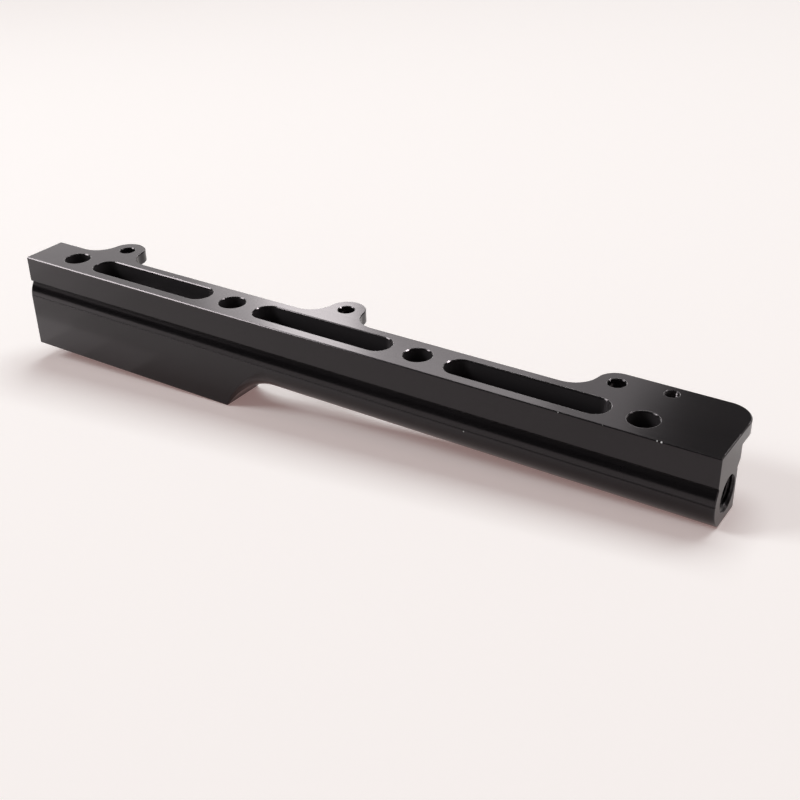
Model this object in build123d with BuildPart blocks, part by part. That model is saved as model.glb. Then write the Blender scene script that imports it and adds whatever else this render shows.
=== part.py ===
from build123d import *
import math
import os

# Fuel rail of a four-cylinder engine, milled and drilled from one aluminium billet.
# Millimetres. X runs along the rail, Y across it towards the bolt ears, and Z up out of the
# face that the injectors plug into. The origin is the first pocket's centre on that face.

# Injector pockets
injector_count = 4
injector_pitch = 90.0
pocket_radius = 5.5
pocket_depth = 12.0
feed_radius = 2.5

# Bar along the top, measured from the line of the injectors
left_overhang = 21.5
right_overhang = 31.2
bar_front = 10.6
bar_back = 10.1
bar_front_height = 11.2
bar_back_height = 10.0

# Gallery tube under the bar
gallery_drop = 19.0
gallery_radius = 5.5
tube_radius = 11.7
tube_floor = 10.0
lower_back = 8.3
back_notch = 1.0

# Fine line where two cutter passes meet on the tube's front
pass_line_rise = 0.9
pass_line_width = 0.3
pass_line_depth = 0.12

# Deep block at the left, and the scoop that rises from its floor into the tube
block_length = 113.7
block_depth = 42.3
scoop_radius = 25.0

# Threaded ports at both ends of the gallery, bored to the thread's outer radius
port_radius = 6.58
port_depth = 14.0

# Lightening slots in the bar, one between each two pockets
slot_length = 65.2
slot_width = 12.0
slot_depth = 9.0

# Bolt ears and the flange at the right, flush with the injector face
flange_thickness = 5.0
ear_after_first_injector = 12.6
ear_after_second_injector = 44.2
ear_before_last_injector = 18.0
ear_hole_line = 18.3
ear_radius = 8.0
ear_blend_radius = 10.0
ear_hole_radius = 3.3
flange_corner_radius = 10.0

# Small tapped hole in the flange, bored to the thread's outer radius
tapped_hole_after_last_injector = 1.5
tapped_hole_line = 21.0
tapped_hole_radius = 2.5

# Broken edges
edge_break = 0.35
rim_chamfer = 0.3

# Sizes that follow from those above
last_injector = (injector_count - 1) * injector_pitch
left_end = -left_overhang
right_end = last_injector + right_overhang
rail_length = right_end - left_end
block_end = left_end + block_length
ear_places = (ear_after_first_injector, injector_pitch + ear_after_second_injector,
              last_injector - ear_before_last_injector)
floor_level = -(gallery_drop + tube_floor)
scoop_depth = block_depth + floor_level
scoop_run = math.sqrt(scoop_depth * (2 * scoop_radius - scoop_depth))
corner_reach = math.hypot(tube_radius, block_depth - gallery_drop)
flange_edge = ear_hole_line + ear_radius
flat_start = -math.sqrt(tube_radius**2 - tube_floor**2)
notch_foot = -(bar_back_height + bar_back - lower_back + back_notch)
notch_lip = notch_foot - back_notch
pass_line_level = pass_line_rise - gallery_drop


def undercut_foot():
    """Point where the 45 degree undercut below the bar's front edge meets the tube."""
    drop = gallery_drop - bar_front_height
    reach = (bar_front + drop - math.sqrt(2 * tube_radius**2 - (bar_front - drop) ** 2)) / 2
    return (-bar_front + reach, -bar_front_height - reach)


def section():
    """Outline across the rail: floor, back with its notch, bar, front undercut and round tube."""
    tube_top = undercut_foot()
    flat_front = (flat_start, floor_level)
    Polyline(flat_front, (lower_back, floor_level), (lower_back, notch_lip),
             (lower_back - back_notch, notch_foot), (bar_back, -bar_back_height),
             (bar_back, 0), (-bar_front, 0), (-bar_front, -bar_front_height), tube_top)
    ThreePointArc(tube_top, (-tube_radius, -gallery_drop), flat_front)


def scooped(level, depth):
    """Outline from the gallery's axis down to a level, and by an arc to that depth below it at the block."""
    far = (block_end + scoop_run, level)
    deep = (block_end, level - depth)
    Polyline(far, (far[0], -gallery_drop), (block_end, -gallery_drop), deep)
    RadiusArc(deep, far, (scoop_run**2 + depth**2) / (2 * depth))


def ear_outline(x):
    """Outline of one ear: a round end with hollow blends into the bar's back face."""
    rise = bar_back + ear_blend_radius - ear_hole_line
    spread = math.sqrt((ear_radius + ear_blend_radius) ** 2 - rise**2)
    share = ear_radius / (ear_radius + ear_blend_radius)
    touch_x = spread * share
    touch_y = ear_hole_line + rise * share
    Line((x - spread, bar_back), (x + spread, bar_back))
    RadiusArc((x + spread, bar_back), (x + touch_x, touch_y), ear_blend_radius)
    ThreePointArc((x + touch_x, touch_y), (x, flange_edge), (x - touch_x, touch_y))
    RadiusArc((x - touch_x, touch_y), (x - spread, bar_back), ear_blend_radius)


# Scoop between the block and the tube. Its floor is straight across the rail. Its front half is
# also flared round the gallery's axis, so that the tube's round front grows into the block's corner.
with BuildPart() as scoop:
    with BuildSketch(Plane.XZ) as side:
        with BuildLine():
            scooped(floor_level, scoop_depth)
        make_face()
    extrude(amount=tube_radius)
    with BuildSketch(Plane.XZ):
        with BuildLine():
            scooped(-gallery_drop - tube_radius, corner_reach - tube_radius)
        make_face()
    revolve(axis=Axis((0, 0, -gallery_drop), (1, 0, 0)), mode=Mode.INTERSECT)
    extrude(side.sketch, amount=-lower_back)

with BuildPart() as rail_body:
    # Bar and tube, the whole length
    with BuildSketch(Plane.YZ.offset(left_end)):
        with BuildLine():
            section()
        make_face()
    extrude(amount=rail_length)

    # Deep block under the left end, with a flat front that carries the tube's round down
    with BuildSketch(Plane.YZ.offset(left_end)):
        with Locations((-tube_radius, -gallery_drop)):
            Rectangle(tube_radius + lower_back, block_depth - gallery_drop, align=(Align.MIN, Align.MAX))
    extrude(amount=block_length)
    add(scoop.part)

    # Ears and end flange
    with BuildSketch(Plane.XY) as flange:
        for ear_x in ear_places:
            with BuildLine():
                ear_outline(ear_x)
            make_face()
        last_ear = ear_places[-1]
        with Locations((last_ear, bar_back)):
            Rectangle(right_end - last_ear, flange_edge - bar_back, align=(Align.MIN, Align.MIN))
        corner = flange.vertices().group_by(Axis.Y)[-1].sort_by(Axis.X)[-1]
        fillet(corner, flange_corner_radius)
    extrude(amount=-flange_thickness)

    # Lightening slots
    with BuildSketch(Plane.XY):
        with Locations(*[((i + 0.5) * injector_pitch, 0) for i in range(injector_count - 1)]):
            SlotOverall(slot_length, slot_width)
    extrude(amount=-slot_depth, mode=Mode.SUBTRACT)

    # Injector pockets with their feed holes into the gallery
    with Locations(*[(i * injector_pitch, 0, 0) for i in range(injector_count)]):
        Hole(pocket_radius, pocket_depth)
        Hole(feed_radius, gallery_drop)

    # Bolt holes and the tapped hole
    with Locations(*[(ear_x, ear_hole_line, 0) for ear_x in ear_places]):
        Hole(ear_hole_radius, flange_thickness)
    with Locations((last_injector + tapped_hole_after_last_injector, tapped_hole_line, 0)):
        Hole(tapped_hole_radius, flange_thickness)

    # Broken edges: all round the injector face and the block's floor, and the upright, level and
    # round edges of both end faces, up to the flange
    by_height = rail_body.faces().sort_by(Axis.Z)
    by_length = rail_body.faces().sort_by(Axis.X)
    broken = by_height[-1].edges() + by_height[0].edges()
    for end_face in (by_length[0], by_length[-1]):
        outline = end_face.edges().filter_by_position(Axis.Y, -tube_radius, bar_back)
        outline = outline.filter_by_position(Axis.Z, -block_depth, 0, inclusive=(False, False))
        broken += outline.filter_by(Axis.Y) + outline.filter_by(Axis.Z) + outline.filter_by(GeomType.CIRCLE)
    chamfer(broken, edge_break)

    # Line left on the tube's front where two cutter passes meet
    pass_line_front = -math.sqrt(tube_radius**2 - pass_line_rise**2)
    with BuildSketch(Plane.YZ.offset(left_end)):
        with BuildLine():
            Polyline((pass_line_front + pass_line_depth, pass_line_level),
                     (pass_line_front - pass_line_depth, pass_line_level + pass_line_width),
                     (pass_line_front - pass_line_depth, pass_line_level - pass_line_width), close=True)
        make_face()
    extrude(amount=rail_length, mode=Mode.SUBTRACT)

    # Gallery from end to end, and a port at each end
    for end, inwards in ((left_end, 1), (right_end, -1)):
        with BuildSketch(Plane.YZ.offset(end)):
            with Locations((0, -gallery_drop)):
                Circle(port_radius)
        extrude(amount=inwards * port_depth, mode=Mode.SUBTRACT)
    with BuildSketch(Plane.YZ.offset(left_end)):
        with Locations((0, -gallery_drop)):
            Circle(gallery_radius)
    extrude(amount=rail_length, mode=Mode.SUBTRACT)

    # Rims of the ports
    for end in (left_end, right_end):
        mouth = rail_body.edges().filter_by_position(Axis.X, end, end).filter_by(GeomType.CIRCLE)
        chamfer(mouth.filter_by(lambda edge: abs(edge.radius - port_radius) < edge_break), rim_chamfer)

rail_body.part.label = "rail_body"
os.makedirs("parts", exist_ok=True)
export_step(rail_body.part, "parts/rail_body.step")
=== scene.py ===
import math

import bpy
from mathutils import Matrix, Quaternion, Vector


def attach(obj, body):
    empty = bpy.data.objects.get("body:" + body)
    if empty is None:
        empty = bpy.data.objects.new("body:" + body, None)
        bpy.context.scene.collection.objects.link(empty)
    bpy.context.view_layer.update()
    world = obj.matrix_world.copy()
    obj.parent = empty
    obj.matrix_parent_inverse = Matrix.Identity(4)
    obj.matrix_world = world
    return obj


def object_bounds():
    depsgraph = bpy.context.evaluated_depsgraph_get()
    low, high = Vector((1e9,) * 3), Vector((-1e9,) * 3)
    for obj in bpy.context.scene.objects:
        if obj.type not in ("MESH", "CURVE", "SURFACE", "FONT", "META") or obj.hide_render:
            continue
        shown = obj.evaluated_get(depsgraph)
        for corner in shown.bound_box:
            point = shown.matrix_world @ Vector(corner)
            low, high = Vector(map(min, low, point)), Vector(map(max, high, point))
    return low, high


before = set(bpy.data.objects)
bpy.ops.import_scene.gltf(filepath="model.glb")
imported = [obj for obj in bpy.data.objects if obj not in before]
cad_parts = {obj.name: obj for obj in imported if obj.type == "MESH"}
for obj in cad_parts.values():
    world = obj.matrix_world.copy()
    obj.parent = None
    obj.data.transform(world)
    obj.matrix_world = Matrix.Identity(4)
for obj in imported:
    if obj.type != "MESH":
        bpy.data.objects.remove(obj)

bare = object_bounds()

# The rail in metres, in the frame of the CAD: x along the rail, y towards its ears, z up
LEFT_END, RIGHT_END = bare[0][0], bare[1][0]
HALF_LENGTH = (RIGHT_END - LEFT_END) / 2
RAIL_MIDDLE = LEFT_END + HALF_LENGTH
EDGE_BREAK = 0.00035
FRONT_BREAK = (-0.0104, -0.0002)  # y and z of the middle of the broken edge between top and front
TUBE_FRONT = -0.0117
BAR_CLEAR = -0.011  # in front of this y there are only the tube and the block
PASS_LINE = -0.0181  # height of the fine line along the tube's front
PASS_LINE_EDGE = (0.0004, 0.0003)  # distance from that height over which the line's looks fade in
INNER_HALF_WIDTH, INNER_DEPTH = 0.0063, 0.0125  # space that the slots and pockets take up in the bar
INNER_TOP = (-0.0003, -0.0008)  # heights between which the painted light and shade of their walls begin
INNER_END = HALF_LENGTH - 0.001  # from the rail's middle, short of its end faces
GALLERY_DROP = 0.019
TAPPED_HOLE = (0.2715, 0.021)
BLOCK_CORNER = (0.0922, bare[0][2])  # x and z of the two edges that the rail lies on
TUBE_CORNER = (RIGHT_END, -0.029)

# Threads. Each has the radius of its hole and of its crest, a pitch and a length
PORT_THREAD = {"radius": 0.00658, "crest": 0.00572, "pitch": 0.001337, "length": 0.014}
TAPPED_THREAD = {"radius": 0.0025, "crest": 0.0021, "pitch": 0.0008, "length": 0.005}
THREAD_STEPS = 40  # per turn
THREAD_ROOT = 1.004  # the ridge's foot lies this much outside the hole's wall, so it leaves no gap
THREAD_PROFILE = ((-0.5, 0.0), (-0.36, 0.14), (-0.13, 0.92), (0.0, 1.0), (0.13, 0.92), (0.36, 0.14),
                  (0.5, 0.0))  # shares of the pitch and of the ridge's height

# Anodised finish
BLACK, CLOUDY_BLACK = (0.006, 0.0055, 0.006, 1.0), (0.013, 0.011, 0.012, 1.0)
# Walls of the slots and pockets: painted light near the top, fading to painted shade deep down
DEEP_WALL_PAINTED_SHADE, SHALLOW_WALL_PAINTED_LIGHT = (0.018, 0.016, 0.018, 1.0), (0.060, 0.055, 0.058, 1.0)
WALL_HEIGHTS = (-0.009, -0.001)  # where the walls have these two colours, painted shade deep down and painted light near the top
RUBBED, RUBBED_SHARE = (0.32, 0.31, 0.31, 1.0), 0.12
# Painted highlight along the rims of the slots, pockets and ear holes
RIM_PAINTED_HIGHLIGHT = (0.55, 0.52, 0.53, 1.0)
# Bare metal in the nicks, painted near white, which also paints their glint
BARE_METAL_AND_GLINT = (0.95, 0.94, 0.93, 1.0)
MIRROR_TINT = (1.0, 0.92, 0.96, 1.0)
ROUGHNESS, REFRACTION = 0.09, 1.40
GLOSS, PASS_LINE_GLOSS = 0.5, 0.36
BUMP_STRENGTH, BUMP_DEPTH = 0.10, 0.00002
STREAKS = (8.0, 900.0, 900.0)  # cells of the milling marks per metre, along x, y and z
GRAIN, CLOUDS, PATCHES, RAGS = 1500.0, 18.0, 220.0, 4000.0  # cells of the other noises per metre
SOFT_RADIUS = 0.00025
SLOT_RIM_REACH = 0.0075  # from the injectors' line, so that the outer edges keep their own looks
EAR_RIM_LINE, EAR_RIM_REACH = 0.019, 0.0045
RIM_DEPTH = 0.0003

# Nicks, their bare metal painted near white, which also paints their glint: centre, and how far the bare
# metal reaches where the ragged edge takes nothing off
NICKS = [((x, *FRONT_BREAK), reach) for x, reach in
         ((0.2807, 0.00052), (0.2792, 0.00040), (0.2434, 0.00036), (0.2599, 0.00028), (0.0799, 0.00028))]
NICKS.append(((0.2069, TUBE_FRONT, -0.0187), 0.00040))
NICK_RAGGED = 0.0004

# Sheet under the rail, as it lights the rail and as it is seen
SHEET_LIT = (0.80, 0.80, 0.79, 1.0)
SHEET_NEAR, SHEET_FAR, SHEET_DEPTH = (0.92, 0.97, 0.96, 1.0), (0.81, 0.86, 0.85, 1.0), 1.2
# Glow of the sheet, weaker under the rail as painted shade
GLOW, GLOW_IN_PAINTED_SHADE, GLOW_BESIDE = (1.0, 0.64, 0.60, 1.0), 0.21, 0.24
PAINTED_SHADE_ACROSS, PAINTED_SHADE_ALONG = (0.004, 0.016), (0.150, 0.165)  # from the rail's middle, where the painted shade under the rail ends
HAZE, HAZE_SPAN = (0.939, 0.888, 0.863, 1.0), (0.9, 2.2)
SHEET_REACH = 6.0
RING_RADIUS, RING_LOW, RING_HIGH, RING_STEPS = 5.9, -0.7, 1.9, 64

# Black card, which hides the sheet's front end from the reflections
FLAG_BLACK = (0.01, 0.01, 0.01, 1.0)
FLAG_Y, FLAG_X, FLAG_Z = -0.44, (-1.6, 1.2), (-0.06, 0.16)

# Lamps, with power in watts or, where only reflections show them, radiance
AIM = (0.1, 0.0, 0.0)
SHINE_COLOUR = (1.0, 0.95, 0.96)
WALL_LAMPS = (("wall", 0.74, (-1.30, -0.02), (0.20, 0.66), 1.3),
              ("low_wall", 0.74, (-0.02, 0.015), (0.20, 0.425), 1.3),
              ("panel", 0.72, (-0.62, -0.36), (0.30, 0.58), 1.65),
              ("high_panel", 0.72, (-0.36, -0.12), (0.425, 0.58), 1.9),
              ("window", 0.70, (-0.50, -0.36), (0.36, 0.52), 4.4))  # name, y, x span, z span, radiance
CARD_LEFT, CARD_LEVEL, CARD_STEP = -0.45, -0.046, 0.0004
NEAR_BAND, FAR_BAND = (-0.012, -0.036), (-0.036, -0.20)
CARDS = ((0.030, NEAR_BAND, 0.20), (0.0, NEAR_BAND, 0.15), (-0.025, NEAR_BAND, 0.25),
         (-0.030, FAR_BAND, 0.12), (-0.060, FAR_BAND, 0.12),
         (-0.090, FAR_BAND, 0.28))  # right end, y span, radiance
WORLD_COLOUR, WORLD_STRENGTH = (1.0, 0.95, 0.93, 1.0), 0.10

# Camera, fitted to the outlines in the photo
EYE, FORWARD = (0.39445, -0.32887, 0.20446), (-0.48745, 0.71939, -0.49485)
ROLL, LENS, SENSOR = -1.407, 53.52, 36.0


# Node trees

class Tree:
    """A short way to build nodes: inputs are numbers, colours or sockets to link."""

    def __init__(self, owner):
        owner.use_nodes = True
        self.nodes, self.links = owner.node_tree.nodes, owner.node_tree.links
        self.nodes.clear()

    def node(self, kind, inputs=None, **settings):
        """A new node, with its inputs set or linked."""
        made = self.nodes.new(kind)
        for name, value in settings.items():
            setattr(made, name, value)
        for name, value in (inputs or {}).items():
            if isinstance(value, bpy.types.NodeSocket):
                self.links.new(value, made.inputs[name])
            else:
                made.inputs[name].default_value = value
        return made

    def add(self, kind, inputs=None, output=0, **settings):
        """One output of a new node."""
        return self.node(kind, inputs, **settings).outputs[output]

    def split(self, vector):
        return self.node("ShaderNodeSeparateXYZ", {0: vector}).outputs

    def math(self, operation, a, b=0.0):
        return self.add("ShaderNodeMath", {0: a, 1: b}, operation=operation)

    def chain(self, operation, first, *others):
        """One operation through several values, such as their product."""
        for other in others:
            first = self.math(operation, first, other)
        return first

    def gap(self, value, target=0.0):
        """Distance between two values."""
        return self.math("ABSOLUTE", self.math("SUBTRACT", value, target))

    def weighed(self, base, *terms):
        """A base number plus each value times its weight."""
        for value, weight in terms:
            base = self.add("ShaderNodeMath", {0: value, 1: weight, 2: base}, operation="MULTIPLY_ADD")
        return base

    def vector_value(self, operation, a, b=(0.0, 0.0, 0.0)):
        return self.add("ShaderNodeVectorMath", {0: a, 1: b}, "Value", operation=operation)

    def ramp(self, value, low, high, start=0.0, end=1.0):
        """Smooth step of a value from low to high."""
        ends = {"From Min": low, "From Max": high, "To Min": start, "To Max": end}
        return self.add("ShaderNodeMapRange", {"Value": value, **ends}, interpolation_type="SMOOTHSTEP")

    def noise(self, vector, scale, detail, roughness):
        return self.add("ShaderNodeTexNoise", {"Vector": vector, "Scale": scale, "Detail": detail,
                                               "Roughness": roughness})

    def colour(self, factor, a, b):
        return self.add("ShaderNodeMix", {"Factor": factor, "A": a, "B": b}, "Result", data_type="RGBA")


# Masks of the anodised rail

def inner_mask(t, x, y, z):
    """Walls and floors of the slots and pockets."""
    return t.chain("MULTIPLY",
                   t.math("LESS_THAN", t.gap(y), INNER_HALF_WIDTH),
                   t.math("LESS_THAN", t.gap(x, RAIL_MIDDLE), INNER_END),
                   t.math("GREATER_THAN", z, -INNER_DEPTH),
                   t.ramp(z, *INNER_TOP))


def rubbed_mask(t, place, z, facing_up):
    """Patches on the broken edge round the top face."""
    at_break = t.ramp(z, -EDGE_BREAK * 1.1, -EDGE_BREAK * 0.9)
    tilted = t.ramp(facing_up, 0.97, 0.9)
    patches = t.ramp(t.noise(place, PATCHES, 3.0, 0.6), 0.55, 0.75)
    return t.chain("MULTIPLY", at_break, tilted, patches)


def rim_highlight_mask(t, y, z, normal, softened):
    """Painted highlight: thin pale line round the slots, the pockets and the holes in the ears, where the
    soft normal turns.
    """
    turning = t.ramp(t.vector_value("DOT_PRODUCT", softened, normal), 0.998, 0.96)
    by_slot = t.math("LESS_THAN", t.gap(y), SLOT_RIM_REACH)
    by_ear_hole = t.math("LESS_THAN", t.gap(y, EAR_RIM_LINE), EAR_RIM_REACH)
    return t.chain("MULTIPLY", turning, t.math("MAXIMUM", by_slot, by_ear_hole),
                   t.math("GREATER_THAN", z, -RIM_DEPTH))


def pass_line_mask(t, y, z):
    """Line on the tube's front where two cutter passes meet."""
    return t.math("MULTIPLY", t.ramp(t.gap(z, PASS_LINE), *PASS_LINE_EDGE), t.math("LESS_THAN", y, BAR_CLEAR))


def nicked(t, place, tone):
    """The tone, with bare metal painted near white in the nicks, which also paints their glint."""
    ragged = t.math("MULTIPLY", t.noise(place, RAGS, 2.0, 0.6), NICK_RAGGED)
    for centre, reach in NICKS:
        away = t.math("ADD", t.vector_value("DISTANCE", place, centre), ragged)
        tone = t.colour(t.math("LESS_THAN", away, reach), tone, BARE_METAL_AND_GLINT)
    return tone


# Materials

def anodised():
    """Black anodised aluminium: milling marks along the rail, painted light and shade on the walls of the
    slots, worn edges and a painted highlight round the rims.
    """
    material = bpy.data.materials.new("anodised_black")
    t = Tree(material)
    place = t.add("ShaderNodeTexCoord", output="Object")
    normal = t.add("ShaderNodeNewGeometry", output="Normal")
    softened = t.add("ShaderNodeBevel", {"Radius": SOFT_RADIUS}, samples=3)
    x, y, z = t.split(place)
    facing = t.split(normal)
    streaks = t.noise(t.add("ShaderNodeMapping", {"Vector": place, "Scale": STREAKS}), 1.0, 3.0, 0.6)
    grain = t.noise(place, GRAIN, 3.0, 0.6)
    cloud = t.noise(place, CLOUDS, 2.0, 0.5)
    inner = inner_mask(t, x, y, z)
    on_end = t.ramp(t.gap(facing["X"]), 0.9, 0.99)
    on_line = pass_line_mask(t, y, z)

    # Painted light and shade on the walls of the slots and pockets, darker deeper down
    wall = t.colour(t.ramp(z, *WALL_HEIGHTS), DEEP_WALL_PAINTED_SHADE, SHALLOW_WALL_PAINTED_LIGHT)
    tone = t.colour(inner, t.colour(cloud, BLACK, CLOUDY_BLACK), wall)
    rubbed = t.math("MULTIPLY", rubbed_mask(t, place, z, facing["Z"]), RUBBED_SHARE)
    tone = t.colour(rubbed, tone, RUBBED)
    # Painted highlight round the rims
    tone = t.colour(rim_highlight_mask(t, y, z, normal, softened), tone, RIM_PAINTED_HIGHLIGHT)
    tone = nicked(t, place, tone)

    rough = t.weighed(ROUGHNESS, (streaks, 0.08), (cloud, 0.06), (on_end, 0.06), (inner, 0.15),
                      (on_line, 0.3))
    gloss = t.ramp(on_line, 0.0, 1.0, GLOSS, PASS_LINE_GLOSS)
    marks = t.weighed(0.0, (streaks, 0.7), (grain, 0.3))
    bumpy = t.add("ShaderNodeBump", {"Height": marks, "Strength": BUMP_STRENGTH, "Distance": BUMP_DEPTH,
                                     "Normal": softened})
    shader = t.add("ShaderNodeBsdfPrincipled", {"Base Color": tone, "Roughness": rough, "Normal": bumpy,
                                                "IOR": REFRACTION, "Specular IOR Level": gloss,
                                                "Specular Tint": MIRROR_TINT})
    t.node("ShaderNodeOutputMaterial", {"Surface": shader})
    return material


def paper():
    """Warm off-white sheet. The camera and reflections see it with a glow, weaker under the rail as painted
    shade, and with haze in the distance. It lights the rail without either."""
    material = bpy.data.materials.new("paper")
    material.cycles.emission_sampling = "NONE"
    t = Tree(material)
    place = t.add("ShaderNodeTexCoord", output="Object")
    x, y = t.split(place)[:2]
    lit = t.add("ShaderNodeBsdfDiffuse", {"Color": SHEET_LIT})

    tone = t.colour(t.ramp(y, 0.0, SHEET_DEPTH), SHEET_NEAR, SHEET_FAR)
    # Painted shade under the rail: the glow is weaker there
    clear_of_painted_shade = t.math("MAXIMUM", t.ramp(t.gap(y), *PAINTED_SHADE_ACROSS), t.ramp(t.gap(x, RAIL_MIDDLE), *PAINTED_SHADE_ALONG))
    strength = t.ramp(clear_of_painted_shade, 0.0, 1.0, GLOW_IN_PAINTED_SHADE, GLOW_BESIDE)
    glow = t.add("ShaderNodeEmission", {"Color": GLOW, "Strength": strength})
    near = t.add("ShaderNodeAddShader", {0: t.add("ShaderNodeBsdfDiffuse", {"Color": tone}), 1: glow})
    haze = t.add("ShaderNodeEmission", {"Color": HAZE, "Strength": 1.0})
    far = t.ramp(t.vector_value("LENGTH", place), *HAZE_SPAN)
    seen = t.add("ShaderNodeMixShader", {0: far, 1: near, 2: haze})

    path = t.node("ShaderNodeLightPath").outputs
    direct = t.chain("MAXIMUM", path["Is Camera Ray"], path["Is Glossy Ray"], path["Is Transmission Ray"])
    shader = t.add("ShaderNodeMixShader", {0: direct, 1: lit, 2: seen})
    t.node("ShaderNodeOutputMaterial", {"Surface": shader})
    return material


def card_black():
    material = bpy.data.materials.new("card_black")
    t = Tree(material)
    t.node("ShaderNodeOutputMaterial", {"Surface": t.add("ShaderNodeBsdfDiffuse", {"Color": FLAG_BLACK})})
    return material


# Pieces of the rail and of the stage

def add_mesh(name, points, faces, material, smooth=True):
    mesh = bpy.data.meshes.new(name)
    mesh.from_pydata(points, [], faces)
    mesh.polygons.foreach_set("use_smooth", [smooth] * len(faces))
    mesh.materials.append(material)
    piece = bpy.data.objects.new(name, mesh)
    bpy.context.scene.collection.objects.link(piece)
    return piece


def add_thread(name, mouth, inwards, across, material, radius, crest, pitch, length):
    """Helical ridge inside a hole. It starts at the mouth and fades in and out over half a turn."""
    mouth, inwards, across = Vector(mouth), Vector(inwards), Vector(across)
    third = inwards.cross(across)
    count = int((length / pitch - 1.0) * THREAD_STEPS)
    root = radius * THREAD_ROOT
    points, faces = [], []
    for i in range(count + 1):
        turns = i / THREAD_STEPS
        angle = 2 * math.pi * turns
        spoke = across * math.cos(angle) + third * math.sin(angle)
        height = min(1.0, 2 * turns, 2 * (count - i) / THREAD_STEPS) * (root - crest)
        for shift, share in THREAD_PROFILE:
            depth = (turns + 0.5 + shift) * pitch
            points.append(mouth + inwards * depth + spoke * (root - height * share))
    width = len(THREAD_PROFILE)
    for i in range(count):
        for j in range(width - 1):
            a = i * width + j
            faces.append((a, a + 1, a + width + 1, a + width))
    piece = add_mesh(name, points, faces, material)
    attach(piece, "root")


def add_floor(material):
    """Floor through the two edges that the rail lies on: it leans a little against the rail's axes."""
    slope = (TUBE_CORNER[1] - BLOCK_CORNER[1]) / (TUBE_CORNER[0] - BLOCK_CORNER[0])
    corners = ((-SHEET_REACH, -SHEET_REACH), (SHEET_REACH, -SHEET_REACH),
               (SHEET_REACH, SHEET_REACH), (-SHEET_REACH, SHEET_REACH))
    points = [(x, y, BLOCK_CORNER[1] + (x - BLOCK_CORNER[0]) * slope) for x, y in corners]
    floor = add_mesh("floor", points, [(0, 1, 2, 3)], material, smooth=False)


def add_backdrop(material):
    """Low ring of the same sheet round the floor's edge."""
    points, faces = [], []
    for i in range(RING_STEPS):
        angle = 2 * math.pi * i / RING_STEPS
        x, y = RING_RADIUS * math.cos(angle), RING_RADIUS * math.sin(angle)
        points += [(x, y, RING_LOW), (x, y, RING_HIGH)]
        a, b = 2 * i, 2 * ((i + 1) % RING_STEPS)
        faces.append((a, b, b + 1, a + 1))
    add_mesh("backdrop", points, faces, material, smooth=False)


def add_flag(material):
    """Upright black card in front of the rail that only reflections show."""
    (left, right), (low, high) = FLAG_X, FLAG_Z
    points = [(left, FLAG_Y, low), (right, FLAG_Y, low), (right, FLAG_Y, high), (left, FLAG_Y, high)]
    flag = add_mesh("flag", points, [(0, 1, 2, 3)], material, smooth=False)
    flag.visible_camera = flag.visible_diffuse = flag.visible_shadow = False


# Lamps, world and camera

def add_lamp(name, place, aim, size, power, colour=(1.0, 1.0, 1.0)):
    data = bpy.data.lights.new(name, "AREA")
    data.shape = "RECTANGLE"
    data.size, data.size_y = size
    data.energy = power
    data.color = colour
    lamp = bpy.data.objects.new(name, data)
    lamp.location = place
    lamp.rotation_mode = "QUATERNION"
    lamp.rotation_quaternion = (Vector(aim) - Vector(place)).to_track_quat("-Z", "Y")
    bpy.context.scene.collection.objects.link(lamp)
    return lamp


def add_shine(name, place, aim, size, radiance):
    """Lamp of a given radiance that shows only in reflections."""
    lamp = add_lamp(name, place, aim, size, math.pi * size[0] * size[1] * radiance, SHINE_COLOUR)
    lamp.visible_diffuse = False
    return lamp


def add_wall_lamp(name, y, x_span, z_span, radiance):
    """Upright lamp behind the rail that its top face mirrors."""
    place = (sum(x_span) / 2, y, sum(z_span) / 2)
    size = (x_span[1] - x_span[0], z_span[1] - z_span[0])
    add_shine(name, place, (place[0], 0.0, place[2]), size, radiance)


def add_cards():
    """Faint lamps lying in front of the left end, one over another, that the rail's front mirrors."""
    for number, (right, (close, far), radiance) in enumerate(CARDS):
        place = Vector(((CARD_LEFT + right) / 2, (close + far) / 2, CARD_LEVEL + CARD_STEP * number))
        size = (right - CARD_LEFT, close - far)
        card = add_shine(f"card_{number + 1}", place, place + Vector((0, 0, 1)), size, radiance)
        card.rotation_quaternion = Quaternion((1, 0, 0), math.pi)


def add_world():
    world = bpy.data.worlds.new("studio")
    bpy.context.scene.world = world
    t = Tree(world)
    light = t.add("ShaderNodeBackground", {"Color": WORLD_COLOUR, "Strength": WORLD_STRENGTH})
    t.node("ShaderNodeOutputWorld", {"Surface": light})


def add_camera():
    data = bpy.data.cameras.new("camera")
    data.sensor_width = SENSOR
    data.lens = LENS
    camera = bpy.data.objects.new("camera", data)
    camera.location = EYE
    camera.rotation_mode = "QUATERNION"
    roll = Quaternion((0, 0, 1), math.radians(ROLL))
    camera.rotation_quaternion = Vector(FORWARD).to_track_quat("-Z", "Y") @ roll
    bpy.context.scene.collection.objects.link(camera)
    bpy.context.scene.camera = camera


finish = anodised()
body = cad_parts["rail_body"]
body.data.materials.clear()
body.data.materials.append(finish)
for side, end, inwards in (("left", LEFT_END, 1), ("right", RIGHT_END, -1)):
    mouth = (end, 0, -GALLERY_DROP)
    add_thread(f"{side}_port_thread", mouth, (inwards, 0, 0), (0, 0, 1), finish, **PORT_THREAD)
add_thread("tapped_hole_thread", (*TAPPED_HOLE, 0), (0, 0, -1), (1, 0, 0), finish, **TAPPED_THREAD)

sheet = paper()
add_floor(sheet)
add_backdrop(sheet)
add_flag(card_black())
add_world()
add_lamp("top", (0.1, 1.3, 2.6), (0.1, 0.1, 0.0), (2.6, 1.6), 52.0)
for wall_lamp in WALL_LAMPS:
    add_wall_lamp(*wall_lamp)
add_lamp("key", (-1.95, -1.05, 1.65), AIM, (1.05, 1.05), 28.0)
add_shine("key_shine", (-0.72, -0.42, 0.66), AIM, (0.36, 0.36), 14.0)
add_shine("rim_shine", (0.85, 0.53, 0.80), AIM, (0.30, 0.30), 65.0)
add_cards()
add_camera()

bpy.context.scene.view_settings.view_transform = "Standard"
